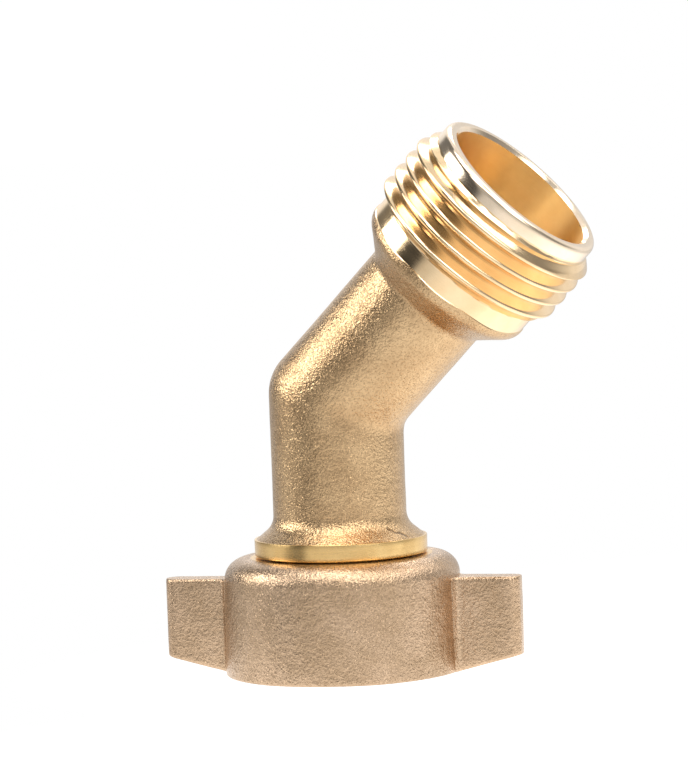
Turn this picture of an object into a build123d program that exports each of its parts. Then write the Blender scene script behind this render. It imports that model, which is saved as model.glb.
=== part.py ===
"""Brass 45 degree garden-hose elbow with a two-wing swivel nut.

Millimetres, +Z up. The origin is the centre of the nut's open bottom face, on the axis
that the nut turns about. The elbow bends towards +X, in the XZ plane. The outlet has its
own frame: its z runs out along the outlet's axis from the bend's centre, and its x lies
in the XZ plane on the lower side.
"""

from build123d import *
import math
import os

# ---- 3/4-11.5 NH hose thread -------------------------------------------------------
PITCH = 25.4 / 11.5
FLANK = math.tan(math.radians(30))       # 60 degree thread form
MALE_CREST_R = 13.50
MALE_ROOT_R = 12.00
MALE_CREST_FLAT = 0.38
FEMALE_CREST_R = 12.30
FEMALE_ROOT_R = 13.65
FEMALE_CREST_FLAT = 0.42
TOOL_PROUD = 0.15                        # how far a thread tool reaches past the crest

# ---- elbow body: bent tube ---------------------------------------------------------
TUBE_R = 8.55
WATERWAY_R = 6.30
BEND_Z = 35.05                           # where the two tube axes meet
BEND_DEG = 45.0
BEND_INNER_R = 3.0                       # corner radius in the crook
BEND_OUTER_R = 6.0                       # corner radius on the outside of the bend
BEND_SECTIONS = 9
BEND_LEAD = 3.0                          # straight stretch lofted with the bend

# ---- elbow body: collar, skirt and tail --------------------------------------------
COLLAR_R = 11.10
COLLAR_Z = 15.20                         # underside, which rests on the nut
COLLAR_T = 2.20
COLLAR_EDGE = 0.25
SKIRT_RISE = 1.80                        # cast cone from the collar up to the tube
SKIRT_FILLET = 2.5
TAIL_R = 8.90
TAIL_END_Z = 11.60                       # end face that seals on the washer
TAIL_CHAMFER = 0.25
TAIL_GROOVE_R = 7.55
TAIL_GROOVE_Z = (12.40, 14.60)

# ---- elbow body: threaded outlet, distances from the bend's centre ------------------
OUTLET_FACE = 37.80
MACHINED_LENGTH = 14.30                  # nose, thread and relief together
NOSE_R = 11.95
NOSE_ROUND = 0.75
THREAD_TOP = 34.15                       # where the full crest ends and the lead-in starts
LEAD_IN_END = 35.75                      # end of the lead-in cone, at the nose
RELIEF_TOP = 25.90                       # end of the plain relief behind the thread
CREST_AT_ZERO = 34.34                    # crest height on the outlet's x side
HEAD_R = 12.05                           # cast shoulder behind the machined end
HEAD_CONE_DEG = 45.0
HEAD_CONE_FOOT = 18.92                   # where the cone would meet the tube
HEAD_ROUND = 2.0
HEAD_FILLET = 1.5
COUNTERBORE_R = 10.20
COUNTERBORE_DEPTH = 12.0
MOUTH_CHAMFER = 0.45

# ---- swivel nut ---------------------------------------------------------------------
NUT_H = 15.00
NUT_FOOT_R = 15.33
NUT_DRAFT = 0.0156                       # inward slope of the cast wall
NUT_SHOULDER_R = 2.7                     # round at the top edge
WEB_Z = 11.90                            # underside of the web round the tail
WEB_HOLE_R = 9.10
WEB_GROOVE_R = 9.80
WEB_GROOVE_Z = (12.90, 14.40)
WASHER_SEAT_Z = 8.15                     # top of the internal thread
WASHER_ROOM_R = 13.70
MOUTH_R = 13.20
MOUTH_DEPTH = 0.48                       # 120 degree countersink
WING_SPAN_R = 23.43
WING_T = 4.00
WING_TOP_Z = 12.15
WING_OUTER_Z = 2.05                      # underside at the wing's tip
WING_ROOT_R = 14.30                      # plate starts inside the nut's wall
WING_ROOT_Z = 0.05                       # clear of the nut's foot
WING_TIP_ROUND = 1.5
WING_EDGE_ROUND = 0.4
WING_TURN_DEG = 10.0                     # wings' axis from +X at rest

# ---- retaining ring and washer --------------------------------------------------------
RING_WIRE_R = 0.70
RING_MEAN_R = 9.00
RING_GAP_DEG = 26.0
RING_Z = 13.65
WASHER_R = 12.70
WASHER_HOLE_R = 8.00
WASHER_T = 3.20
WASHER_EDGE = 0.35


STANDING = (Align.CENTER, Align.CENTER, Align.MIN)


def turned(points):
    """Solid of revolution about Z from (radius, height) corner points."""
    outline = Polyline(*[(r, 0, z) for r, z in points], close=True)
    return revolve(make_face(outline), Axis.Z, 360)


def thread_tool(root_r, crest_r, crest_flat, start, end, turn_deg):
    """Helical cutter of the space between two thread ridges, from start to end along Z."""
    outward = 1 if crest_r > root_r else -1
    depth = abs(crest_r - root_r)
    root_half = (PITCH - crest_flat) / 2 - depth * FLANK
    open_half = root_half + (depth + TOOL_PROUD) * FLANK
    open_r = crest_r + outward * TOOL_PROUD
    profile = Polyline(
        (root_r, 0, -root_half),
        (open_r, 0, -open_half),
        (open_r, 0, open_half),
        (root_r, 0, root_half),
        close=True,
    )
    path = Helix(PITCH, end - start, root_r)
    cutter = sweep(make_face(profile), path=path, is_frenet=True)
    return Pos(0, 0, start) * Rot(0, 0, turn_deg) * cutter


def outlet_frame():
    """Placement of things made along Z onto the outlet's axis, from the bend's centre."""
    return Pos(0, 0, BEND_Z) * Rot(0, BEND_DEG, 0)


# ---- elbow body ------------------------------------------------------------------------
def bend_outer_reach(pivot_x, pivot_z, angle):
    """Distance from the crook's pivot to the outside of the bend, at an angle of the fan."""
    angle = min(angle, math.radians(BEND_DEG) - angle)
    straight = (pivot_x + TUBE_R) / math.cos(angle)
    corner_x = -(TUBE_R - BEND_OUTER_R)
    corner_z = BEND_Z - corner_x * math.tan(math.radians(BEND_DEG / 2))
    if pivot_z + straight * math.sin(angle) <= corner_z:
        return straight
    dx, dz = pivot_x - corner_x, pivot_z - corner_z
    along = -dx * math.cos(angle) + dz * math.sin(angle)
    return -along + math.sqrt(along**2 - dx**2 - dz**2 + BEND_OUTER_R**2)


def bend():
    """Loft through sections that fan about the crook, so both corners come out rounded."""
    pivot_x = TUBE_R + BEND_INNER_R
    pivot_z = BEND_Z - pivot_x * math.tan(math.radians(BEND_DEG / 2))
    sections = []

    def section(angle, shift):
        reach = bend_outer_reach(pivot_x, pivot_z, angle)
        across = Vector(-math.cos(angle), 0, math.sin(angle))
        normal = Vector(math.sin(angle), 0, math.cos(angle))
        middle = Vector(pivot_x, 0, pivot_z) + across * ((reach + BEND_INNER_R) / 2)
        plane = Plane(origin=middle + normal * shift, x_dir=across, z_dir=normal)
        half = (reach - BEND_INNER_R) / 2
        sections.append(plane * Ellipse(max(half, TUBE_R), TUBE_R))

    for lead in (BEND_LEAD, BEND_LEAD / 2):
        section(0.0, -lead)
    for i in range(BEND_SECTIONS):
        section(math.radians(BEND_DEG) * i / (BEND_SECTIONS - 1), 0.0)
    for lead in (BEND_LEAD / 2, BEND_LEAD):
        section(math.radians(BEND_DEG), lead)
    return loft(sections), pivot_x, pivot_z


def lower_end(top_z):
    """Tube, cast skirt, machined collar and the grooved tail that the nut turns on."""
    collar_top = COLLAR_Z + COLLAR_T
    groove_low, groove_high = TAIL_GROOVE_Z
    outline = Polyline(
        (0, 0, TAIL_END_Z),
        (TAIL_R - TAIL_CHAMFER, 0, TAIL_END_Z),
        (TAIL_R, 0, TAIL_END_Z + TAIL_CHAMFER),
        (TAIL_R, 0, groove_low),
        (TAIL_GROOVE_R, 0, groove_low),
        (TAIL_GROOVE_R, 0, groove_high),
        (TAIL_R, 0, groove_high),
        (TAIL_R, 0, COLLAR_Z),
        (COLLAR_R - COLLAR_EDGE, 0, COLLAR_Z),
        (COLLAR_R, 0, COLLAR_Z + COLLAR_EDGE),
        (COLLAR_R, 0, collar_top - COLLAR_EDGE / 2),
        (COLLAR_R - COLLAR_EDGE / 2, 0, collar_top),
    )
    start = Vector(COLLAR_R - COLLAR_EDGE / 2, 0, collar_top)
    foot = Vector(TUBE_R, 0, collar_top + SKIRT_RISE)
    tangent = SKIRT_FILLET * math.tan(math.atan2(start.X - foot.X, SKIRT_RISE) / 2)
    on_cone = foot + (start - foot).normalized() * tangent
    on_tube = foot + Vector(0, 0, tangent)
    skirt = Line(start, on_cone)
    fillet_arc = TangentArc(on_cone, on_tube, tangent=foot - start)
    rest = Polyline(on_tube, (TUBE_R, 0, top_z), (0, 0, top_z), (0, 0, TAIL_END_Z))
    return revolve(make_face([*outline.edges(), skirt, fillet_arc, *rest.edges()]), Axis.Z)


def outlet_head(start):
    """Upper tube, cast shoulder and the blank of the threaded nose, along Z."""
    shoulder = OUTLET_FACE - MACHINED_LENGTH
    cone = math.radians(HEAD_CONE_DEG)
    slope = Vector(math.sin(cone), 0, math.cos(cone))
    foot = Vector(TUBE_R, 0, HEAD_CONE_FOOT)
    fillet_reach = HEAD_FILLET * math.tan(cone / 2)
    corner = foot + slope * ((HEAD_R - TUBE_R) / math.sin(cone))
    round_reach = HEAD_ROUND * math.tan(cone / 2)
    tube_end = foot - Vector(0, 0, fillet_reach)
    cone_start = foot + slope * fillet_reach
    cone_end = corner - slope * round_reach
    head_side = corner + Vector(0, 0, round_reach)
    rise = MALE_CREST_R - NOSE_R
    edges = [
        *Polyline((0, 0, start), (TUBE_R, 0, start), tube_end).edges(),
        TangentArc(tube_end, cone_start, tangent=(0, 0, 1)),
        Line(cone_start, cone_end),
        TangentArc(cone_end, head_side, tangent=slope),
        *Polyline(
            head_side,
            (HEAD_R, 0, shoulder),
            (NOSE_R, 0, shoulder),
            (NOSE_R, 0, RELIEF_TOP),
            (MALE_CREST_R, 0, RELIEF_TOP + rise * FLANK),
            (MALE_CREST_R, 0, THREAD_TOP),
            (NOSE_R, 0, LEAD_IN_END),
            (NOSE_R, 0, OUTLET_FACE - NOSE_ROUND),
        ).edges(),
        TangentArc(
            (NOSE_R, 0, OUTLET_FACE - NOSE_ROUND),
            (NOSE_R - NOSE_ROUND, 0, OUTLET_FACE),
            tangent=(0, 0, 1),
        ),
        *Polyline((NOSE_R - NOSE_ROUND, 0, OUTLET_FACE), (0, 0, OUTLET_FACE), (0, 0, start)).edges(),
    ]
    return revolve(make_face(edges), Axis.Z)


def threaded_rod(start):
    """Bar of the crest's radius with the outlet's thread cut in it, clear of nose and relief."""
    low = RELIEF_TOP - PITCH / 2
    high = LEAD_IN_END + PITCH / 4
    turn = 360 * (low - (CREST_AT_ZERO - PITCH / 2)) / PITCH
    length = OUTLET_FACE + PITCH - start
    bar = Pos(0, 0, start) * Cylinder(MALE_CREST_R, length, align=STANDING)
    return bar - thread_tool(MALE_ROOT_R, MALE_CREST_R, MALE_CREST_FLAT, low, high, turn)


def waterway():
    """Drilled passages from both ends, which meet at the bend, and the outlet's counterbore."""
    inlet = Pos(0, 0, TAIL_END_Z - 1) * Cylinder(
        WATERWAY_R, BEND_Z - TAIL_END_Z + 1, align=STANDING
    )
    knuckle = Pos(0, 0, BEND_Z) * Sphere(WATERWAY_R)
    floor = OUTLET_FACE - COUNTERBORE_DEPTH
    outlet = turned([
        (0, 0),
        (WATERWAY_R, 0),
        (WATERWAY_R, floor),
        (COUNTERBORE_R, floor),
        (COUNTERBORE_R, OUTLET_FACE - MOUTH_CHAMFER),
        (COUNTERBORE_R + MOUTH_CHAMFER + 1, OUTLET_FACE + 1),
        (0, OUTLET_FACE + 1),
    ])
    return inlet + knuckle + outlet_frame() * outlet


def elbow_body():
    curve, pivot_x, pivot_z = bend()
    upper_start = pivot_x * math.tan(math.radians(BEND_DEG / 2)) + BEND_LEAD
    outlet = outlet_head(upper_start) & threaded_rod(upper_start)
    body = lower_end(pivot_z - BEND_LEAD) + curve + outlet_frame() * outlet
    return body - waterway()


# ---- swivel nut ------------------------------------------------------------------------
def nut_shell():
    """Cast wall with its web, washer room, and the plain bore that the thread is cut in."""
    top_r = NUT_FOOT_R - NUT_DRAFT * NUT_H
    lean = math.atan(NUT_DRAFT)
    reach = NUT_SHOULDER_R * math.tan((math.pi / 2 - lean) / 2)
    wall_top = Vector(top_r, 0, NUT_H) - Vector(-NUT_DRAFT, 0, 1).normalized() * reach
    groove_low, groove_high = WEB_GROOVE_Z
    edges = [
        Line((NUT_FOOT_R, 0, 0), wall_top),
        TangentArc(wall_top, (top_r - reach, 0, NUT_H), tangent=(-NUT_DRAFT, 0, 1)),
        *Polyline(
            (top_r - reach, 0, NUT_H),
            (WEB_HOLE_R, 0, NUT_H),
            (WEB_HOLE_R, 0, groove_high),
            (WEB_GROOVE_R, 0, groove_high),
            (WEB_GROOVE_R, 0, groove_low),
            (WEB_HOLE_R, 0, groove_low),
            (WEB_HOLE_R, 0, WEB_Z),
            (WASHER_ROOM_R, 0, WEB_Z),
            (WASHER_ROOM_R, 0, WASHER_SEAT_Z),
            (FEMALE_CREST_R, 0, WASHER_SEAT_Z),
            (FEMALE_CREST_R, 0, MOUTH_DEPTH),
            (MOUTH_R, 0, 0),
            (NUT_FOOT_R, 0, 0),
        ).edges(),
    ]
    return revolve(make_face(edges), Axis.Z)


def wing():
    """One finger wing along +X, with a sloping underside and a rounded upright tip."""
    side = Polyline(
        (WING_ROOT_R, 0, WING_ROOT_Z),
        (NUT_FOOT_R, 0, WING_ROOT_Z),
        (WING_SPAN_R, 0, WING_OUTER_Z),
        (WING_SPAN_R, 0, WING_TOP_Z),
        (WING_ROOT_R, 0, WING_TOP_Z),
        close=True,
    )
    plate = extrude(make_face(side), amount=WING_T / 2, dir=(0, 1, 0), both=True)
    upright = plate.edges().filter_by(Axis.Z).sort_by(Axis.X)[-2:]
    plate = fillet(upright, WING_TIP_ROUND)
    top = plate.faces().sort_by(Axis.Z)[-1]
    rim = [e for e in top.edges() if e.center().X > WING_ROOT_R + 0.1]
    return fillet(rim, WING_EDGE_ROUND)


def threaded_sleeve():
    """Thick sleeve with the nut's thread cut in it, wider and taller than the nut's thread."""
    height = WASHER_SEAT_Z + 4 * PITCH
    sleeve = Cylinder(2 * FEMALE_ROOT_R, height) - Cylinder(FEMALE_CREST_R, height)
    low, high = -PITCH / 2, WASHER_SEAT_Z + PITCH / 2
    cutter = thread_tool(FEMALE_ROOT_R, FEMALE_CREST_R, FEMALE_CREST_FLAT, low, high, 0)
    return Pos(0, 0, WASHER_SEAT_Z / 2) * sleeve - cutter


def swivel_nut():
    shell = nut_shell()
    threaded_span = Cylinder(2 * NUT_FOOT_R, WASHER_SEAT_Z, align=STANDING)
    nut = (shell & threaded_span & threaded_sleeve()) + (shell - threaded_span)
    for turn in (0, 180):
        nut += Rot(0, 0, turn) * wing()
    return Rot(0, 0, WING_TURN_DEG) * nut


# ---- retaining ring and washer -----------------------------------------------------------
def retaining_ring():
    """Split wire ring, half in the tail's groove and half in the nut's, open at -X."""
    wire = Pos(RING_MEAN_R, 0, 0) * Rot(90, 0, 0) * Circle(RING_WIRE_R)
    loop = revolve(wire, Axis.Z, 360 - RING_GAP_DEG)
    return Pos(0, 0, RING_Z) * Rot(0, 0, 180 + RING_GAP_DEG / 2) * loop


def hose_washer():
    """Flat rubber washer that lies on the top of the nut's thread."""
    blank = Cylinder(WASHER_R, WASHER_T) - Cylinder(WASHER_HOLE_R, WASHER_T)
    rims = blank.edges().filter_by(GeomType.CIRCLE)
    return Pos(0, 0, WASHER_SEAT_Z + WASHER_T / 2) * fillet(rims, WASHER_EDGE)


def main():
    os.makedirs("parts", exist_ok=True)
    nodes = {
        "elbow_body": elbow_body(),
        "swivel_nut": swivel_nut(),
        "retaining_ring": retaining_ring(),
        "hose_washer": hose_washer(),
    }
    for name, shape in nodes.items():
        box = shape.bounding_box()
        print(name, round(shape.volume, 2), "mm3", shape.is_valid, box.min, box.max)
        export_step(shape, f"parts/{name}.step")


main()
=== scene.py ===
"""Looks for the brass 45 degree hose elbow with its wing swivel nut.

Shapes are worked out in millimetres in the part's own frame and turned into metres when
a mesh is made. Every surface is a grid of rings: plain rings about the swivel axis, rings
that fan round the bend, rings about the outlet's axis, helical rows on both threads, and
loops round the wings and the wire.
"""

import math

import bmesh
import bpy
import numpy as np
from mathutils import Matrix, Vector, noise

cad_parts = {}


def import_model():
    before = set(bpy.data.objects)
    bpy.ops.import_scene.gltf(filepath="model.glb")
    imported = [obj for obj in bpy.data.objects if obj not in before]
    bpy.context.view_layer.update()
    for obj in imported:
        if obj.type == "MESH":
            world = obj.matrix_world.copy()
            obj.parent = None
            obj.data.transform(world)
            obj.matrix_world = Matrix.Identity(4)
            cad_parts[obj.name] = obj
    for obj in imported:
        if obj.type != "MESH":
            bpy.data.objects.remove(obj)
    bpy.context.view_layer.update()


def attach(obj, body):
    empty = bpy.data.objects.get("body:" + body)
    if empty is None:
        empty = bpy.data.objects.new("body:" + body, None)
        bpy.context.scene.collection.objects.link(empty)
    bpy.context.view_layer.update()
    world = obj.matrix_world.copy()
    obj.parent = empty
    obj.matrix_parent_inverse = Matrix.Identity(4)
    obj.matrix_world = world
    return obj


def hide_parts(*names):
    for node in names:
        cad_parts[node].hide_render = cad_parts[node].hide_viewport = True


MM = 0.001
COLUMNS = 256                      # vertices round each ring
ARC_STEP = 0.22                    # longest stretch of a rounded corner between two rings
CAST_STEP, TURNED_STEP = 0.28, 0.4       # longest stretch between two rings
HIDDEN_STEP, BORE_STEP, INLET_STEP = 0.5, 0.7, 1.0
MALE_ROWS, FEMALE_ROWS = 26, 22    # rows of a thread's grid in one pitch
BEND_ROWS, WATERWAY_BEND_ROWS = 44, 16
WELD = 1e-4                        # points this close are one point

# ---- sizes in millimetres -----------------------------------------------------------
PITCH = 25.4 / 11.5
FLANK = math.tan(math.radians(30))
MALE_CREST_R, MALE_ROOT_R, MALE_CREST_FLAT = 13.50, 12.00, 0.38
FEMALE_CREST_R, FEMALE_ROOT_R, FEMALE_CREST_FLAT = 12.30, 13.65, 0.42

TUBE_R, WATERWAY_R = 8.55, 6.30
BEND_Z, BEND = 35.05, math.radians(45)
BEND_INNER_R, BEND_OUTER_R = 3.0, 6.0
COLLAR_R, COLLAR_Z, COLLAR_T = 11.10, 15.20, 2.20
COLLAR_LAND = 0.3                        # turned rim on the collar's top, outside the skirt
SKIRT_RISE, SKIRT_FILLET = 1.80, 2.5
TAIL_R, TAIL_END_Z = 8.90, 11.60
TAIL_GROOVE_R, TAIL_GROOVE_Z = 7.55, (12.40, 14.60)
TAIL_SPLIT_Z = TAIL_END_Z + 4            # where the grids of the tail and the inlet meet

OUTLET_FACE, SHOULDER = 37.80, 23.50
NOSE_R, NOSE_ROUND = 11.95, 0.75
RELIEF_TOP, THREAD_TOP, LEAD_IN_END, CREST_AT_ZERO = 25.90, 34.15, 35.75, 34.34
HEAD_R, HEAD_CONE_FOOT, HEAD_ROUND, HEAD_FILLET = 12.05, 18.92, 2.0, 1.5
COUNTERBORE_R, COUNTERBORE_DEPTH, MOUTH_CHAMFER = 10.20, 12.0, 0.45

NUT_H, NUT_FOOT_R, NUT_DRAFT, NUT_SHOULDER_R = 15.00, 15.33, 0.0156, 2.7
WEB_Z, WEB_HOLE_R, WEB_GROOVE_R, WEB_GROOVE_Z = 11.90, 9.10, 9.80, (12.90, 14.40)
WASHER_SEAT_Z, WASHER_ROOM_R, MOUTH_R, MOUTH_DEPTH = 8.15, 13.70, 13.20, 0.48
NUT_TURNED_R = COLLAR_R + 0.6            # edge of the turned patch on the nut's top
MOUTH_EDGE_R = MOUTH_R + 0.5             # mouth's edge on the foot, outside the thread's root
FOOT_LAND = 0.6                          # cast rim of the foot, outside its turned face
WING_SPAN_R, WING_T, WING_TOP_Z, WING_OUTER_Z = 23.43, 4.00, 12.15, 2.05
WING_TIP_ROUND, WING_EDGE_ROUND, WING_TURN = 1.5, 0.4, math.radians(10)
WING_ROOT_X, WING_ROOT_Z, WING_FILLET = 13.9, 0.05, 0.7
WING_STEP, WING_TIP_ROWS = 0.24, 12

RING_WIRE_R, RING_MEAN_R, RING_GAP, RING_Z = 0.70, 9.00, math.radians(26), 13.65
WASHER_R, WASHER_HOLE_R, WASHER_T, WASHER_EDGE = 12.70, 8.00, 3.20, 0.35

THREAD_ROUND = 0.20                      # softness of the thread's crest and root corners
BLANK_ROUND = 0.04                       # softness where the thread runs out into its blank
EDGE_WANDER, EDGE_REACH = 0.55, 1.4      # how far, and over what length, the cut's edge wanders
OUTLET_AXIS = np.array([math.sin(BEND), 0.0, math.cos(BEND)])
OUTLET_ACROSS = np.array([math.cos(BEND), 0.0, -math.sin(BEND)])
BEND_CENTRE = np.array([0.0, 0.0, BEND_Z])
ANGLES = np.linspace(0.0, 2 * math.pi, COLUMNS + 1)


# ---- outlines: (radius, height) points of a turned surface ---------------------------
def corner_arc(before, corner, after, radius):
    """Points of the arc that rounds a corner, or the corner itself where radius is 0."""
    a, c, b = np.array(before), np.array(corner), np.array(after)
    if radius <= 0:
        return [c]
    u, v = (a - c) / np.linalg.norm(a - c), (b - c) / np.linalg.norm(b - c)
    half = math.acos(max(-1.0, min(1.0, float(u @ v)))) / 2
    reach = radius / math.tan(half)
    centre = c + (u + v) / np.linalg.norm(u + v) * radius / math.sin(half)
    start, end = c + u * reach - centre, c + v * reach - centre
    steps = max(3, int((math.pi - 2 * half) * radius / ARC_STEP) + 1)
    points = []
    for i in range(steps + 1):
        t = i / steps
        turn = math.pi - 2 * half
        mixed = (math.sin((1 - t) * turn) * start + math.sin(t * turn) * end) / math.sin(turn)
        points.append(centre + mixed)
    return points


def outline(corners, step):
    """Dense points along (radius, height, rounding) corners, no further apart than step."""
    sparse = [np.array(corners[0][:2])]
    for before, corner, after in zip(corners, corners[1:], corners[2:]):
        sparse.extend(corner_arc(before[:2], corner[:2], after[:2], corner[2]))
    sparse.append(np.array(corners[-1][:2]))
    dense = [sparse[0]]
    for a, b in zip(sparse, sparse[1:]):
        length = np.linalg.norm(b - a)
        if length < 1e-6:
            continue
        cuts = max(1, math.ceil(length / step))
        ends = [i / cuts for i in range(1, cuts + 1)]
        dense.extend(a + (b - a) * t for t in ends)
    return dense


# ---- surface pieces: grids of points, in millimetres ----------------------------------
def ring(centre, across, half_across, half_y):
    """One closed ring of points, an ellipse in the plane of `across` and Y."""
    flat = np.outer(np.cos(ANGLES), across) * half_across
    side = np.outer(np.sin(ANGLES), (0.0, 1.0, 0.0)) * half_y
    return np.array(centre) + flat + side


def upright_rings(points):
    """Rings about the swivel axis."""
    return [ring((0, 0, z), (1, 0, 0), r, r) for r, z in points]


def outlet_rings(points):
    """Rings about the outlet's axis, with heights measured from the bend's centre."""
    return [ring(BEND_CENTRE + OUTLET_AXIS * s, OUTLET_ACROSS, r, r) for r, s in points]


def wandering(points):
    """Rings about the outlet's axis whose edge wanders where the cut meets the casting."""
    places = zip(1.8 * np.cos(ANGLES), 1.8 * np.sin(ANGLES))
    wave = np.array([noise.noise((x, y, 4.7)) for x, y in places]) * EDGE_WANDER
    rings = []
    for rows, (_, s) in zip(outlet_rings(points), points):
        share = max(0.0, 1.0 - abs(s - SHOULDER) / EDGE_REACH)
        rings.append(rows + np.outer(wave * share, OUTLET_AXIS))
    return rings


def bend_reach(radius, inner_r, outer_r, angle):
    """Distance from the crook's pivot to the outside of the bend, at an angle of the fan."""
    pivot_x = radius + inner_r
    pivot_z = BEND_Z - pivot_x * math.tan(BEND / 2)
    angle = min(angle, BEND - angle)
    straight = (pivot_x + radius) / math.cos(angle)
    corner_x = outer_r - radius
    corner_z = BEND_Z - corner_x * math.tan(BEND / 2)
    if pivot_z + straight * math.sin(angle) <= corner_z:
        return straight
    dx, dz = pivot_x - corner_x, pivot_z - corner_z
    along = -dx * math.cos(angle) + dz * math.sin(angle)
    return -along + math.sqrt(along**2 - dx**2 - dz**2 + outer_r**2)


def bend_rings(radius, inner_r, outer_r, count):
    """Rings that fan about the crook of the bend, from the lower tube to the upper one."""
    pivot_x = radius + inner_r
    pivot = np.array([pivot_x, 0.0, BEND_Z - pivot_x * math.tan(BEND / 2)])
    rings = []
    for i in range(count + 1):
        angle = BEND * i / count
        reach = bend_reach(radius, inner_r, outer_r, angle)
        outward = np.array([-math.cos(angle), 0.0, math.sin(angle)])
        middle = pivot + outward * (reach + inner_r) / 2
        half = max((reach - inner_r) / 2, radius)
        rings.append(ring(middle, -outward, half, radius))
    return rings


def rounded_ramp(x):
    """0 below 0 and x above it, with the corner rounded."""
    return 0.5 * (x + np.sqrt(x**2 + THREAD_ROUND**2))


def thread_radius(height, angle, crest_height, crest_r, root_r, crest_flat):
    """Radius of a thread's surface, whose crest is at crest_height at angle 0."""
    offset = height - crest_height - PITCH * angle / (2 * math.pi)
    offset = np.abs(offset - PITCH * np.round(offset / PITCH))
    depth = abs(crest_r - root_r)
    at_crest = -crest_flat / 2 / FLANK
    drop = rounded_ramp(offset / FLANK + at_crest) - rounded_ramp(at_crest)
    deepest = rounded_ramp(PITCH / 2 / FLANK + at_crest) - rounded_ramp(at_crest)
    drop = depth - rounded_ramp(depth - drop) + rounded_ramp(depth - deepest)
    return crest_r - math.copysign(1, crest_r - root_r) * drop


def helix_grid(low, high, rows_per_pitch, radius_at):
    """(radius, height, angle) grid whose rows follow the thread and stop at low and high."""
    first = math.floor(low / PITCH) - 2
    count = int((math.ceil(high / PITCH) + 1 - first) * rows_per_pitch)
    base = PITCH * (first + np.arange(count + 1) / rows_per_pitch)
    height = base[:, None] + PITCH * ANGLES[None, :] / (2 * math.pi)
    height = np.clip(height, low, high)
    kept = [k for k in range(count) if np.ptp(height[k : k + 2]) > 1e-9]
    height = height[kept[0] : kept[-1] + 2]
    return radius_at(height, ANGLES[None, :] + 0 * height), height


def placed(radius, height, origin, axis, across):
    """Points of a (radius, height) grid about an axis, one row of columns at a time."""
    rows = []
    for r, h in zip(radius, height):
        flat = np.outer(np.cos(ANGLES) * r, across)
        side = np.outer(np.sin(ANGLES) * r, (0.0, 1.0, 0.0))
        rows.append(np.array(origin) + flat + side + np.outer(h, axis))
    return rows


class Surface:
    """A mesh under construction: rows of points, each patch with a material and a castness."""

    def __init__(self):
        self.points, self.faces, self.slots, self.cast = [], [], [], []
        self.total = 0

    def patch(self, rows, slot, cast=0.0, ends=(None, None)):
        """Adds a grid. `cast` is how much of the casting's unevenness its rows take."""
        grid = np.array(rows)
        count, width = grid.shape[:2]
        weights = np.full(count, float(cast))
        for row, value in zip((0, -1), ends):
            if value is not None:
                weights[row] = value
        index = self.total + np.arange(count * width).reshape(count, width)
        quads = np.stack([index[:-1, :-1], index[:-1, 1:], index[1:, 1:], index[1:, :-1]], -1)
        self.points.append(grid.reshape(-1, 3))
        self.faces.append(quads.reshape(-1, 4))
        self.slots.append(np.full(len(quads.reshape(-1, 4)), slot))
        self.cast.append(np.repeat(weights, width))
        self.total += count * width

    def build(self, name, materials, sharp_deg=28.0):
        """The welded mesh object, in metres, with smooth shading and sharp corners kept."""
        points = np.concatenate(self.points)
        keys = np.round(points / WELD).astype(np.int64)
        _, first, welded = np.unique(keys, axis=0, return_index=True, return_inverse=True)
        welded = welded.reshape(-1)
        faces, slots = [], []
        for quad, slot in zip(welded[np.concatenate(self.faces)], np.concatenate(self.slots)):
            loop = [v for i, v in enumerate(quad) if v != quad[i - 1]]
            if len(set(loop)) == len(loop) >= 3:
                faces.append(loop)
                slots.append(slot)
        mesh = bpy.data.meshes.new(name)
        mesh.from_pydata((points[first] * MM).tolist(), [], faces)
        mesh.polygons.foreach_set("material_index", np.array(slots, np.int32))
        cast = mesh.attributes.new("cast", "FLOAT", "POINT")
        cast.data.foreach_set("value", np.concatenate(self.cast)[first].astype(np.float32))
        for material in materials:
            mesh.materials.append(material)
        obj = bpy.data.objects.new(name, mesh)
        bpy.context.scene.collection.objects.link(obj)
        close_up(obj)
        smooth(obj, sharp_deg)
        return obj


def close_up(obj):
    """Welds what is left within a thousandth of a millimetre and turns every face outwards."""
    work = bmesh.new()
    work.from_mesh(obj.data)
    bmesh.ops.remove_doubles(work, verts=work.verts, dist=1e-6)
    bmesh.ops.dissolve_degenerate(work, edges=work.edges, dist=1e-7)
    bmesh.ops.recalc_face_normals(work, faces=work.faces)
    work.to_mesh(obj.data)
    work.free()


def smooth(obj, sharp_deg):
    obj.data.shade_smooth()
    obj.data.set_sharp_from_angle(angle=math.radians(sharp_deg))


# ---- the casting's unevenness ---------------------------------------------------------
def uneven(point, seed):
    """Height of a shot-blasted sand casting's skin at a point, in millimetres."""
    shifted = Vector(point) / MM + Vector((seed, 2.3 * seed, -1.7 * seed))
    swell = noise.noise(shifted / 6.5) * 0.050
    dimple = noise.noise(shifted / 2.2) * 0.014
    peel = noise.noise(shifted / 0.62) * 0.006
    return swell + dimple + peel


def roughen(obj, seed):
    """Moves the cast part of a mesh along its normals by the casting's unevenness."""
    mesh = obj.data
    count = len(mesh.vertices)
    weights, points, normals = np.zeros(count), np.zeros(count * 3), np.zeros(count * 3)
    mesh.attributes["cast"].data.foreach_get("value", weights)
    mesh.vertices.foreach_get("co", points)
    mesh.vertex_normals.foreach_get("vector", normals)
    points, normals = points.reshape(-1, 3), normals.reshape(-1, 3)
    for i in np.flatnonzero(weights > 0):
        points[i] += normals[i] * uneven(points[i], seed) * weights[i] * MM
    mesh.vertices.foreach_set("co", points.ravel())
    mesh.update()


# ---- elbow body -----------------------------------------------------------------------
CAST, TURNED, BORE, COLLAR, THREAD = 0, 1, 2, 3, 4


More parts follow.
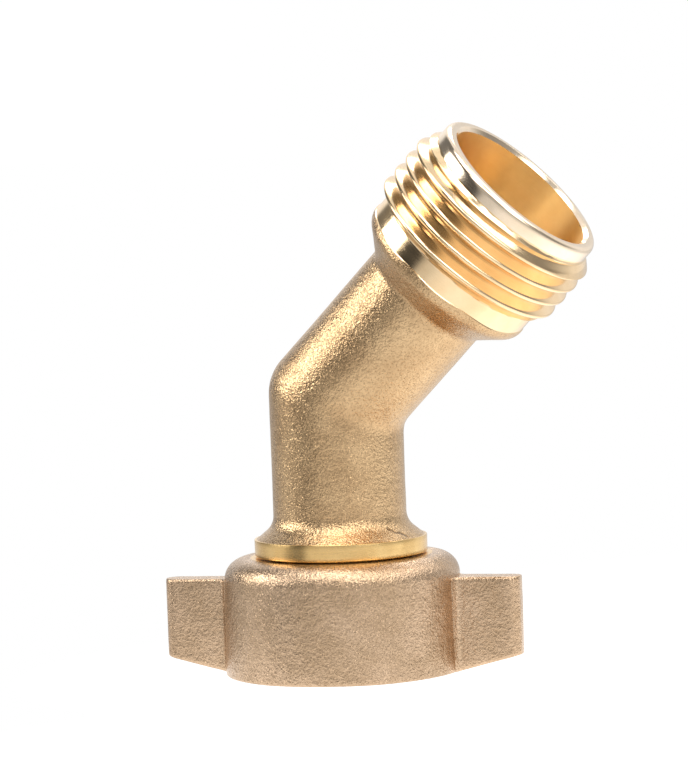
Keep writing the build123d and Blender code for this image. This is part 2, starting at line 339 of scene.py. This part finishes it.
def skirt_outline(bottom, top_z):
    """Cast skirt from the collar's top edge up to the lower tube."""
    foot = (TUBE_R, COLLAR_Z + COLLAR_T + SKIRT_RISE, SKIRT_FILLET)
    return outline([bottom, foot, (TUBE_R, top_z, 0)], CAST_STEP)


def male_thread(height, angle):
    """Radius of the outlet's thread, with a flank down to the relief and a tapered lead-in."""
    ridge = thread_radius(
        height, angle, CREST_AT_ZERO, MALE_CREST_R, MALE_ROOT_R, MALE_CREST_FLAT
    )
    fall = (MALE_CREST_R - NOSE_R) / (LEAD_IN_END - THREAD_TOP)
    blank = np.minimum(
        NOSE_R + (height - RELIEF_TOP) / FLANK, MALE_CREST_R - (height - THREAD_TOP) * fall
    )
    blank = np.maximum(blank, NOSE_R)
    gap = ridge - blank
    return np.maximum(blank + 0.5 * (gap - np.sqrt(gap**2 + BLANK_ROUND**2)), NOSE_R)


def elbow_body(materials):
    """Tail, collar, skirt, bent tube, threaded head and waterway, as one closed surface."""
    collar_top = COLLAR_Z + COLLAR_T
    pivot_x = TUBE_R + BEND_INNER_R
    tube_top = BEND_Z - pivot_x * math.tan(BEND / 2)
    upper_start = pivot_x * math.tan(BEND / 2)
    body = Surface()

    tail = outline([
        (WATERWAY_R, TAIL_SPLIT_Z, 0),
        (WATERWAY_R, TAIL_END_Z, 0.15),
        (TAIL_R, TAIL_END_Z, 0.25),
        (TAIL_R, TAIL_GROOVE_Z[0], 0.08),
        (TAIL_GROOVE_R, TAIL_GROOVE_Z[0], 0.1),
        (TAIL_GROOVE_R, TAIL_GROOVE_Z[1], 0.1),
        (TAIL_R, TAIL_GROOVE_Z[1], 0.08),
        (TAIL_R, COLLAR_Z, 0.1),
        (COLLAR_R, COLLAR_Z, 0.22),
        (COLLAR_R, collar_top, 0.10),
        (COLLAR_R - COLLAR_LAND, collar_top, 0),
    ], HIDDEN_STEP)
    body.patch(upright_rings(tail), COLLAR)

    skirt = skirt_outline((COLLAR_R - COLLAR_LAND, collar_top, 0), tube_top)
    body.patch(upright_rings(skirt), CAST, 1.0, (0.0, None))
    body.patch(bend_rings(TUBE_R, BEND_INNER_R, BEND_OUTER_R, BEND_ROWS), CAST, 1.0)

    cone = HEAD_CONE_FOOT + (HEAD_R - TUBE_R)
    head = outline([
        (TUBE_R, upper_start, 0),
        (TUBE_R, HEAD_CONE_FOOT, HEAD_FILLET),
        (HEAD_R, cone, HEAD_ROUND),
        (HEAD_R, SHOULDER, 0),
    ], CAST_STEP)
    body.patch(wandering(head), CAST, 1.0, (None, 0.6))

    low, high = RELIEF_TOP - 0.3, LEAD_IN_END + 0.2
    relief = outline([
        (HEAD_R, SHOULDER, 0),
        (NOSE_R, SHOULDER + 0.1, 0),
        (NOSE_R, low, 0),
    ], TURNED_STEP)
    body.patch(wandering(relief), THREAD, 0.0, (0.6, None))
    radius, height = helix_grid(low, high, MALE_ROWS, male_thread)
    body.patch(placed(radius, height, BEND_CENTRE, OUTLET_AXIS, OUTLET_ACROSS), THREAD)

    nose = outline([
        (NOSE_R, high, 0),
        (NOSE_R, OUTLET_FACE, NOSE_ROUND),
        (COUNTERBORE_R + MOUTH_CHAMFER, OUTLET_FACE, 0.08),
        (COUNTERBORE_R, OUTLET_FACE - MOUTH_CHAMFER, 0),
    ], TURNED_STEP)
    body.patch(outlet_rings(nose), TURNED)

    floor = OUTLET_FACE - COUNTERBORE_DEPTH
    passage_end = WATERWAY_R * math.tan(BEND / 2)
    bore = outline([
        (COUNTERBORE_R, OUTLET_FACE - MOUTH_CHAMFER, 0),
        (COUNTERBORE_R, floor, 0.1),
        (WATERWAY_R, floor, 0.1),
        (WATERWAY_R, passage_end, 0),
    ], BORE_STEP)
    body.patch(outlet_rings(bore), BORE)
    knuckle = bend_rings(WATERWAY_R, 0.0, WATERWAY_R, WATERWAY_BEND_ROWS)
    body.patch(knuckle[::-1], BORE)
    inlet = outline([
        (WATERWAY_R, BEND_Z - passage_end, 0),
        (WATERWAY_R, TAIL_SPLIT_Z, 0),
    ], INLET_STEP)
    body.patch(upright_rings(inlet), BORE)

    obj = body.build("elbow", materials)
    roughen(obj, 3.1)
    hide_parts("elbow_body")
    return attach(obj, "elbow")


# ---- swivel nut -----------------------------------------------------------------------
def female_thread(height, angle):
    return thread_radius(
        height, angle, -PITCH / 2, FEMALE_CREST_R, FEMALE_ROOT_R, FEMALE_CREST_FLAT
    )


def bridge(row, radius, height):
    """Three rows that join the thread's last row to a plain ring about the swivel axis."""
    plain = upright_rings([(radius, height)])[0]
    return [row + (plain - row) * t for t in (0, 0.5, 1)]


def nut_shell(materials):
    """Cast wall with its turned top, web, washer room, internal thread and mouth."""
    top_r = NUT_FOOT_R - NUT_DRAFT * NUT_H
    nut = Surface()
    wall = outline([
        (NUT_FOOT_R - FOOT_LAND, 0.0, 0),
        (NUT_FOOT_R, 0.0, 0.25),
        (top_r, NUT_H, NUT_SHOULDER_R),
        (NUT_TURNED_R, NUT_H, 0),
    ], CAST_STEP)
    nut.patch(upright_rings(wall), CAST, 1.0, (0.0, 0.0))
    inside = outline([
        (NUT_TURNED_R, NUT_H, 0),
        (WEB_HOLE_R, NUT_H, 0.15),
        (WEB_HOLE_R, WEB_GROOVE_Z[1], 0.08),
        (WEB_GROOVE_R, WEB_GROOVE_Z[1], 0.08),
        (WEB_GROOVE_R, WEB_GROOVE_Z[0], 0.08),
        (WEB_HOLE_R, WEB_GROOVE_Z[0], 0.08),
        (WEB_HOLE_R, WEB_Z, 0.12),
        (WASHER_ROOM_R, WEB_Z, 0.2),
        (WASHER_ROOM_R, WASHER_SEAT_Z, 0),
    ], HIDDEN_STEP)
    nut.patch(upright_rings(inside), TURNED)
    radius, height = helix_grid(MOUTH_DEPTH, WASHER_SEAT_Z, FEMALE_ROWS, female_thread)
    rows = placed(radius, height, (0, 0, 0), (0, 0, 1), (1, 0, 0))
    nut.patch(rows, TURNED)
    nut.patch(bridge(rows[-1], WASHER_ROOM_R, WASHER_SEAT_Z), TURNED)
    nut.patch(bridge(rows[0], MOUTH_EDGE_R, 0), TURNED)
    foot = outline([(MOUTH_EDGE_R, 0, 0), (NUT_FOOT_R - FOOT_LAND, 0, 0)], TURNED_STEP)
    nut.patch(upright_rings(foot), TURNED)
    return nut.build("swivel-nut", materials)


def wing_half_width(x):
    """Half of the wing's thickness: a fillet at the root, then a plate with a rounded tip."""
    wall = NUT_FOOT_R - 0.1
    half = WING_T / 2
    if x < wall + WING_FILLET:
        inside = max(x, wall) - (wall + WING_FILLET)
        half += WING_FILLET - math.sqrt(WING_FILLET**2 - inside**2)
    start = WING_SPAN_R - WING_TIP_ROUND
    if x > start:
        half += math.sqrt(max(WING_TIP_ROUND**2 - (x - start) ** 2, 0)) - WING_TIP_ROUND
    return half


def wing_section(x):
    """Closed loop of points round the wing at a distance from the swivel axis."""
    half = wing_half_width(x)
    slope = WING_OUTER_Z / (WING_SPAN_R - NUT_FOOT_R)
    low = WING_ROOT_Z + max(0.0, x - NUT_FOOT_R) * slope
    high = WING_TOP_Z
    edge = min(WING_EDGE_ROUND, half - 0.05)
    corners = []
    for cy, cz, start in (
        (half - edge, low + edge, -90),
        (half - edge, high - edge, 0),
        (-half + edge, high - edge, 90),
        (-half + edge, low + edge, 180),
    ):
        turns = [math.radians(start + a) for a in (0, 22.5, 45, 67.5, 90)]
        corners.append([(x, cy + edge * math.cos(t), cz + edge * math.sin(t)) for t in turns])
    points = []
    side_cuts, edge_cuts = 44, 10
    for k, corner in enumerate(corners):
        points.extend(corner)
        a, b = np.array(corner[-1]), np.array(corners[(k + 1) % 4][0])
        cuts = edge_cuts if k % 2 else side_cuts
        points.extend(a + (b - a) * i / cuts for i in range(1, cuts))
    return np.array(points + [points[0]])


def wing(name, turn, materials):
    """One wing as a closed solid whose root lies inside the nut's wall."""
    straight = np.arange(WING_ROOT_X, WING_SPAN_R - WING_TIP_ROUND, WING_STEP)
    turns = [math.pi / 2 * i / WING_TIP_ROWS for i in range(WING_TIP_ROWS + 1)]
    tip = [WING_SPAN_R - WING_TIP_ROUND + WING_TIP_ROUND * math.sin(t) for t in turns]
    rows = [wing_section(x) for x in [*straight, *tip]]
    spin = np.array(Matrix.Rotation(turn, 3, "Z"))
    surface = Surface()
    surface.patch([row @ spin.T for row in rows], CAST, 1.0)
    obj = surface.build(name, materials)
    cap_ends(obj)
    return obj


def cap_ends(obj):
    """Closes the two open ends of a wing."""
    work = bmesh.new()
    work.from_mesh(obj.data)
    edges = [e for e in work.edges if len(e.link_faces) == 1]
    made = bmesh.ops.holes_fill(work, edges=edges, sides=0)
    bmesh.ops.triangulate(work, faces=made["faces"])
    bmesh.ops.recalc_face_normals(work, faces=work.faces)
    work.to_mesh(obj.data)
    work.free()


def swivel_nut(materials):
    """Nut's shell with both wings joined to it."""
    shell = nut_shell(materials)
    roughen(shell, 8.4)
    spin = Matrix.Rotation(WING_TURN, 4, "Z")
    shell.data.transform(spin)
    for k in range(2):
        blade = wing(f"wing-{k}", WING_TURN + math.pi * k, materials)
        roughen(blade, 5.5 + k)
        union = shell.modifiers.new("wing", "BOOLEAN")
        union.operation, union.solver, union.object = "UNION", "MANIFOLD", blade
        apply_modifiers(shell)
        bpy.data.objects.remove(blade)
    smooth(shell, 34.0)
    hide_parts("swivel_nut")
    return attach(shell, "nut")


def apply_modifiers(obj):
    """Swaps an object's mesh for the one that its modifiers make."""
    graph = bpy.context.evaluated_depsgraph_get()
    made = bpy.data.meshes.new_from_object(obj.evaluated_get(graph))
    obj.modifiers.clear()
    obj.data = made


# ---- retaining ring and washer ----------------------------------------------------------
def retaining_ring(materials):
    """Split ring of round wire with slightly domed cut ends, open towards -X."""
    around, across = 160, 20
    rows = []
    for i in range(around + 1):
        turn = math.pi + RING_GAP / 2 + (2 * math.pi - RING_GAP) * i / around
        out = np.array([math.cos(turn), math.sin(turn), 0.0])
        side = np.array([-math.sin(turn), math.cos(turn), 0.0])
        domes = [(0.0, -0.06), (0.5, -0.05), (0.85, -0.03), (1.0, 0.0)]
        ends = domes if i == 0 else domes[::-1] if i == around else [(1.0, 0.0)]
        for scale, dip in ends:
            shift = side * (dip if i == 0 else -dip)
            angles = np.linspace(0, 2 * math.pi, across + 1)
            wire = np.outer(np.cos(angles), out) + np.outer(np.sin(angles), (0, 0, 1))
            centre = out * RING_MEAN_R + np.array([0, 0, RING_Z]) + shift
            rows.append(centre + wire * RING_WIRE_R * scale)
    surface = Surface()
    surface.patch(rows, 0)
    obj = surface.build("retaining-ring-wire", materials)
    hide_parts("retaining_ring")
    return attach(obj, "ring")


def hose_washer(materials):
    """Moulded rubber washer with soft rims."""
    low, high = WASHER_SEAT_Z, WASHER_SEAT_Z + WASHER_T
    middle = (low + high) / 2
    section = outline([
        (WASHER_HOLE_R, middle, 0),
        (WASHER_HOLE_R, low, WASHER_EDGE),
        (WASHER_R, low, WASHER_EDGE),
        (WASHER_R, high, WASHER_EDGE),
        (WASHER_HOLE_R, high, WASHER_EDGE),
        (WASHER_HOLE_R, middle, 0),
    ], 0.4)
    surface = Surface()
    surface.patch(upright_rings(section), 0)
    obj = surface.build("washer-rubber", materials, 60.0)
    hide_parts("hose_washer")
    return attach(obj, "nut")


# ---- materials --------------------------------------------------------------------------
class Nodes:
    """A new node material, with short calls to add nodes and link them."""

    def __init__(self, name):
        self.material = bpy.data.materials.new(name)
        self.material.use_nodes = True
        self.tree = self.material.node_tree
        self.shader = self.tree.nodes["Principled BSDF"]

    def add(self, kind, values=(), out=0, **settings):
        """Adds a node and gives back one of its outputs; values are (socket, value) pairs."""
        node = self.tree.nodes.new("ShaderNode" + kind)
        for name, value in settings.items():
            setattr(node, name, value)
        for socket, value in values:
            self.put(node.inputs[socket], value)
        return node.outputs[out]

    def put(self, socket, value):
        if isinstance(value, bpy.types.NodeSocket):
            self.tree.links.new(value, socket)
        else:
            socket.default_value = value

    def set(self, **sockets):
        for name, value in sockets.items():
            self.put(self.shader.inputs[name.replace("_", " ")], value)

    def place(self):
        return self.add("TexCoord", out=3)

    def math(self, operation, a, b=0.0):
        return self.add("Math", ((0, a), (1, b)), operation=operation)

    def vector(self, operation, a, b=(0, 0, 0), out=0):
        return self.add("VectorMath", ((0, a), (1, b)), out, operation=operation)

    def noise(self, where, size_mm, detail=2.0, rough=0.5):
        values = (("Vector", where), ("Scale", 1 / (size_mm * MM)), ("Detail", detail),
                  ("Roughness", rough))
        return self.add("TexNoise", values)

    def spread(self, value, low, high, to_low=0.0, to_high=1.0):
        values = ((0, value), (1, low), (2, high), (3, to_low), (4, to_high))
        return self.add("MapRange", values, clamp=True)

    def blend(self, factor, a, b):
        return self.add("Mix", ((0, factor), (6, a), (7, b)), 2, data_type="RGBA")

    def bump(self, height, depth_mm):
        values = (("Strength", 1.0), ("Distance", depth_mm * MM), ("Height", height))
        return self.add("Bump", values)


SPECK_COLOUR = (0.22, 0.13, 0.06, 1)
CREASE_START, CREASE_END = (8.42, -3.84, 18.80), (10.28, -2.07, 17.65)
CREASE_WOBBLE, CREASE_HALF = 0.9, (0.12, 0.27)       # half widths of its floor and its banks
SWIVEL = ((0, 0, 0), (0, 0, 1))                      # an axis: origin and direction
OUTLET = (BEND_CENTRE, OUTLET_AXIS)


def crease(m, where):
    """1 on a thin, wandering flaw that runs down the skirt, 0 away from it."""
    start = Vector(CREASE_START) * MM
    run = Vector(CREASE_END) * MM - start
    wobble = m.add("TexNoise", (("Vector", where), ("Scale", 1 / (1.3 * MM))), 1)
    wobble = m.add("VectorMath", ((0, wobble), (3, CREASE_WOBBLE * MM)), operation="SCALE")
    offset = m.vector("SUBTRACT", m.vector("ADD", where, wobble), tuple(start))
    offset = m.vector("SUBTRACT", offset, (CREASE_WOBBLE / 2 * MM,) * 3)
    share = m.vector("DOT_PRODUCT", offset, tuple(run / run.length_squared), 1)
    share = m.spread(share, 0.0, 1.0)
    along = m.add("VectorMath", ((0, tuple(run)), (3, share)), operation="SCALE")
    away = m.vector("LENGTH", m.vector("SUBTRACT", offset, along), out=1)
    return m.spread(away, CREASE_HALF[0] * MM, CREASE_HALF[1] * MM, 1.0, 0.0)


def cast_brass(name, light, dark, roughness, flawed=False):
    """Shot-blasted sand casting: sharp fine grain over orange peel, with dark specks."""
    m = Nodes(name)
    where = m.place()
    grain = m.noise(where, 0.30, 2.0, 0.7)
    peel = m.noise(where, 0.85, 2.0, 0.5)
    cloud = m.noise(where, 6.0, 3.0, 0.55)
    speck = m.spread(m.noise(where, 0.24, 1.0, 0.4), 0.64, 0.74)
    hollow = m.spread(grain, 0.52, 0.36)
    colour = m.blend(m.spread(cloud, 0.35, 0.65), light, dark)
    colour = m.blend(m.math("MULTIPLY", hollow, 0.30), colour, SPECK_COLOUR)
    colour = m.blend(m.math("MULTIPLY", speck, 0.38), colour, SPECK_COLOUR)
    height = m.math("ADD", grain, m.math("MULTIPLY", peel, 0.9))
    height = m.math("SUBTRACT", height, m.math("MULTIPLY", speck, 0.2))
    if flawed:
        flaw = crease(m, where)
        colour = m.blend(m.math("MULTIPLY", flaw, 0.9), colour, SPECK_COLOUR)
        height = m.math("SUBTRACT", height, flaw)
    m.set(
        Base_Color=colour, Metallic=1.0,
        Roughness=m.spread(grain, 0.35, 0.65, roughness + 0.06, roughness - 0.06),
        Normal=m.bump(height, 0.105),
    )
    return m.material


def about_axis(m, origin_mm, axis):
    """(distance along an axis, distance from it) of the shaded point, in millimetres."""
    origin = tuple(c * MM for c in origin_mm)
    offset = m.vector("SUBTRACT", m.place(), origin)
    along = m.vector("DOT_PRODUCT", offset, tuple(axis), 1)
    away = m.vector("LENGTH", m.vector("CROSS_PRODUCT", offset, tuple(axis)), out=1)
    return m.math("MULTIPLY", along, 1 / MM), m.math("MULTIPLY", away, 1 / MM)


def turned_brass(name, colour, dull, roughness, about, cut=(0.11, 0.004), spin=0.0):
    """Turned brass, with lathe rings of cut (feed, depth) about an axis.

    Spin stretches its highlights along the axis; without it there are handling marks.
    """
    m = Nodes(name)
    where = m.place()
    along, away = about_axis(m, *about)
    lathe = m.add("CombineXYZ", ((0, m.math("MULTIPLY", along, MM)),
                                 (1, m.math("MULTIPLY", away, MM))))
    rings = m.noise(lathe, cut[0], 2.0, 0.7)
    broad = m.noise(lathe, 0.9, 2.0, 0.5)
    smudge = m.noise(where, 3.2, 3.0, 0.6)
    broad_share, mark_depth = (0.2, 0.0) if spin else (0.8, 0.5)
    mark = m.spread(m.noise(where, 0.5, 2.0, 0.5), 0.68, 0.76, 0.0, mark_depth)
    tint = m.blend(m.spread(smudge, 0.35, 0.75), colour, dull)
    height = m.math("ADD", rings, m.math("MULTIPLY", broad, broad_share))
    height = m.math("SUBTRACT", height, mark)
    worn = m.math("ADD", rings, smudge)
    m.set(
        Base_Color=tint, Metallic=1.0, Anisotropic=spin,
        Roughness=m.spread(worn, 0.7, 1.3, roughness - 0.04, roughness + 0.07),
        Normal=m.bump(height, cut[1]),
    )
    if spin:
        m.set(Tangent=m.vector("NORMALIZE", tuple(about[1])))
    return m.material


def elbow_materials():
    """The elbow's materials, in the order of its slots from CAST to THREAD."""
    cast = cast_brass("elbow-cast", (0.70, 0.48, 0.265, 1), (0.57, 0.375, 0.20, 1), 0.24, True)
    nose = turned_brass("nose-turned", (0.95, 0.79, 0.61, 1), (0.90, 0.72, 0.51, 1), 0.16, OUTLET)
    bore = turned_brass(
        "bore-turned", (0.96, 0.66, 0.26, 1), (0.89, 0.58, 0.21, 1), 0.42, OUTLET,
        cut=(0.26, 0.013), spin=0.9,
    )
    collar = turned_brass(
        "collar-turned", (0.88, 0.61, 0.27, 1), (0.74, 0.48, 0.19, 1), 0.25, SWIVEL,
        cut=(0.2, 0.006), spin=0.7,
    )
    thread = turned_brass("thread-cut", (0.96, 0.72, 0.44, 1), (0.91, 0.65, 0.37, 1), 0.15, OUTLET)
    return [cast, nose, bore, collar, thread]


def nut_materials():
    """The nut's materials, for its slots CAST and TURNED."""
    cast = cast_brass("nut-cast", (0.65, 0.46, 0.305, 1), (0.52, 0.36, 0.225, 1), 0.26)
    turned = turned_brass("nut-turned", (0.88, 0.62, 0.30, 1), (0.78, 0.53, 0.25, 1), 0.27, SWIVEL)
    return [cast, turned]


def wire_steel():
    """Drawn spring wire."""
    m = Nodes("ring-spring-steel")
    where = m.place()
    drawn = m.noise(where, 0.12, 2.0, 0.6)
    tint = m.blend(m.noise(where, 2.0), (0.52, 0.52, 0.53, 1), (0.38, 0.38, 0.40, 1))
    m.set(Base_Color=tint, Metallic=1.0, Roughness=m.spread(drawn, 0.3, 0.7, 0.22, 0.40),
          Normal=m.bump(drawn, 0.006))
    return m.material


def washer_rubber():
    """Black rubber with a faint grey bloom."""
    m = Nodes("washer-black-rubber")
    where = m.place()
    grain = m.noise(where, 0.18, 3.0, 0.6)
    bloom = m.spread(m.noise(where, 3.5, 3.0, 0.6), 0.45, 0.8)
    tint = m.blend(bloom, (0.012, 0.012, 0.013, 1), (0.035, 0.034, 0.033, 1))
    m.set(Base_Color=tint, Roughness=m.spread(grain, 0.3, 0.7, 0.5, 0.72),
          Normal=m.bump(grain, 0.02))
    return m.material


# ---- camera, floor and lights -----------------------------------------------------------
CAMERA_AZIMUTH = math.radians(24.2)
CAMERA_DISTANCE, CAMERA_HEIGHT = 511.6, 71.6
CAMERA_YAW, CAMERA_PITCH, CAMERA_ROLL = (math.radians(a) for a in (0.13, -3.82, -2.12))
SENSOR, LENS = 36.0, 189.45


def studio(right, up, toward):
    """A point given by what is right, up and toward the camera, in the part's frame."""
    c, s = math.cos(CAMERA_AZIMUTH), math.sin(CAMERA_AZIMUTH)
    return Vector((right * c + toward * s, right * s - toward * c, up)) * MM


def camera():
    """Long lens, a little above the part's middle, with a slight tilt and roll."""
    data = bpy.data.cameras.new("camera")
    data.sensor_width, data.lens = SENSOR, LENS
    data.clip_start, data.clip_end = 0.01, 20
    obj = bpy.data.objects.new("camera", data)
    forward = studio(
        math.sin(CAMERA_YAW) * math.cos(CAMERA_PITCH), math.sin(CAMERA_PITCH),
        -math.cos(CAMERA_YAW) * math.cos(CAMERA_PITCH),
    ).normalized()
    level = studio(math.cos(CAMERA_YAW), 0, math.sin(CAMERA_YAW)).normalized()
    upward = level.cross(forward)
    right = level * math.cos(CAMERA_ROLL) + upward * math.sin(CAMERA_ROLL)
    up = upward * math.cos(CAMERA_ROLL) - level * math.sin(CAMERA_ROLL)
    turn = Matrix((right, up, -forward)).transposed()
    obj.matrix_world = Matrix.Translation(studio(0, CAMERA_HEIGHT, CAMERA_DISTANCE)) @ turn.to_4x4()
    bpy.context.scene.collection.objects.link(obj)
    bpy.context.scene.camera = obj


def softbox(name, place, aim, width, height, brightness):
    """A rectangular soft light; place and aim are (right, up, toward) in millimetres."""
    data = bpy.data.lights.new(name, "AREA")
    data.shape, data.size, data.size_y = "RECTANGLE", width * MM, height * MM
    data.energy = brightness * math.pi * data.size * data.size_y
    obj = bpy.data.objects.new(name, data)
    obj.location = studio(*place)
    obj.rotation_mode = "QUATERNION"
    obj.rotation_quaternion = (studio(*aim) - obj.location).to_track_quat("-Z", "Y")
    obj.visible_camera = False
    bpy.context.scene.collection.objects.link(obj)


# brightness of the room and the table in reflections, by degrees from the camera's side,
# positive to the right
ROOM = ((-180, 1.0), (-155, 1.05), (-146, 0.18), (-112, 0.14), (-106, 0.38), (-79, 0.33),
        (-74, 0.05), (-51, 0.05), (-44, 0.46), (60, 0.38), (100, 0.26), (126, 0.95),
        (142, 0.95), (158, 0.74), (180, 0.95))
TABLE = ((-180, 1.0), (-130, 0.95), (-82, 1.0), (-73, 0.30), (-52, 0.28), (-43, 1.15), (30, 1.2),
         (80, 1.7), (180, 1.0))
FLOOR_SIDE, FLOOR_Z = 6000.0, -0.05                # the floor is just clear of the nut's foot
POOL, POOL_LEVEL = (0.02, 0.10), 1.4               # bright painted pool of light round the part, in metres
FADE, FADE_LEVEL = (0.07, 0.24), 0.6               # painted light: the table gets darker away from the part


def by_bearing(tree, direction, stops):
    """A brightness that depends only on the bearing of a direction, seen from above."""
    nodes, links = tree.nodes, tree.links

    def dot(towards):
        node = nodes.new("ShaderNodeVectorMath")
        node.operation = "DOT_PRODUCT"
        node.inputs[1].default_value = towards
        links.new(direction, node.inputs[0])
        return node.outputs["Value"]

    bearing = nodes.new("ShaderNodeMath")
    bearing.operation = "ARCTAN2"
    links.new(dot(studio(1, 0, 0) / MM), bearing.inputs[0])
    links.new(dot(studio(0, 0, 1) / MM), bearing.inputs[1])
    share = nodes.new("ShaderNodeMath")
    share.operation = "MULTIPLY_ADD"
    share.inputs[1].default_value, share.inputs[2].default_value = 0.5 / math.pi, 0.5
    links.new(bearing.outputs[0], share.inputs[0])
    ramp = nodes.new("ShaderNodeValToRGB")
    marks = ramp.color_ramp.elements
    while len(marks) < len(stops):
        marks.new(0.5)
    for mark, (degrees, level) in zip(marks, stops):
        mark.position = degrees / 360 + 0.5
        mark.color = (level, level, level, 1)
    links.new(share.outputs[0], ramp.inputs["Fac"])
    return ramp.outputs["Color"]


def backdrop():
    """White room to the camera; in reflections, bright behind and with dark gaps to the left."""
    world = bpy.data.worlds.new("studio")
    world.use_nodes = True
    bpy.context.scene.world = world
    tree = world.node_tree
    ray = tree.nodes.new("ShaderNodeLightPath")
    way = tree.nodes.new("ShaderNodeTexCoord")
    level = tree.nodes.new("ShaderNodeMath")
    level.operation = "MAXIMUM"
    tree.links.new(by_bearing(tree, way.outputs["Generated"], ROOM), level.inputs[0])
    tree.links.new(ray.outputs["Is Camera Ray"], level.inputs[1])
    background = tree.nodes["Background"]
    background.inputs["Color"].default_value = (1, 1, 1, 1)
    tree.links.new(level.outputs[0], background.inputs["Strength"])


def floor():
    """White floor that glows instead of being lit: white to the camera, with a painted pool of
    light round the part and painted brightness by bearing; it lights the part from below.
    """
    side = FLOOR_SIDE
    mesh = bpy.data.meshes.new("floor")
    corners = [(-side, -side), (side, -side), (side, side), (-side, side)]
    mesh.from_pydata([(x * MM, y * MM, FLOOR_Z * MM) for x, y in corners], [], [(0, 1, 2, 3)])
    obj = bpy.data.objects.new("floor", mesh)
    bpy.context.scene.collection.objects.link(obj)
    m = Nodes("glowing-floor-painted-light")
    # painted light: the floor's glow is brighter in a pool round the part, varies by bearing and
    # falls off away from it
    away = m.vector("LENGTH", m.place(), out=1)
    pool = m.spread(away, *POOL, 1.0, 0.0)
    fade = m.spread(away, *FADE, 1.0, FADE_LEVEL)
    level = m.math("MULTIPLY", by_bearing(m.tree, m.place(), TABLE), fade)
    level = m.math("MAXIMUM", level, m.math("MULTIPLY", pool, POOL_LEVEL))
    to_camera = m.add("LightPath")
    level = m.math("MAXIMUM", level, to_camera)
    m.set(Base_Color=(0, 0, 0, 1), Roughness=1.0, Specular_IOR_Level=0.0,
          Emission_Color=(1, 1, 1, 1), Emission_Strength=level)
    mesh.materials.append(m.material)


def lights():
    """Six softboxes, which draw the bands of light on the turned faces and the cast rounds."""
    softbox("left-key", (-552, 290, -35), (0, 45, 0), 390, 220, 6.0)
    softbox("front-right", (330, 370, 390), (0, 45, 0), 330, 350, 2.9)
    softbox("overhead", (-40, 560, 130), (0, 40, 0), 420, 300, 3.9)
    softbox("top-front", (-20, 450, 410), (0, 20, 0), 600, 80, 6.0)
    softbox("top-right", (400, 500, -20), (0, 50, 0), 300, 330, 3.0)
    softbox("top-back", (80, 500, -440), (20, 60, 0), 260, 200, 4.0)


def main():
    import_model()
    bpy.context.scene.view_settings.view_transform = "Standard"

    elbow_body(elbow_materials())
    swivel_nut(nut_materials())
    retaining_ring([wire_steel()])
    hose_washer([washer_rubber()])

    camera()
    backdrop()
    floor()
    lights()


main()
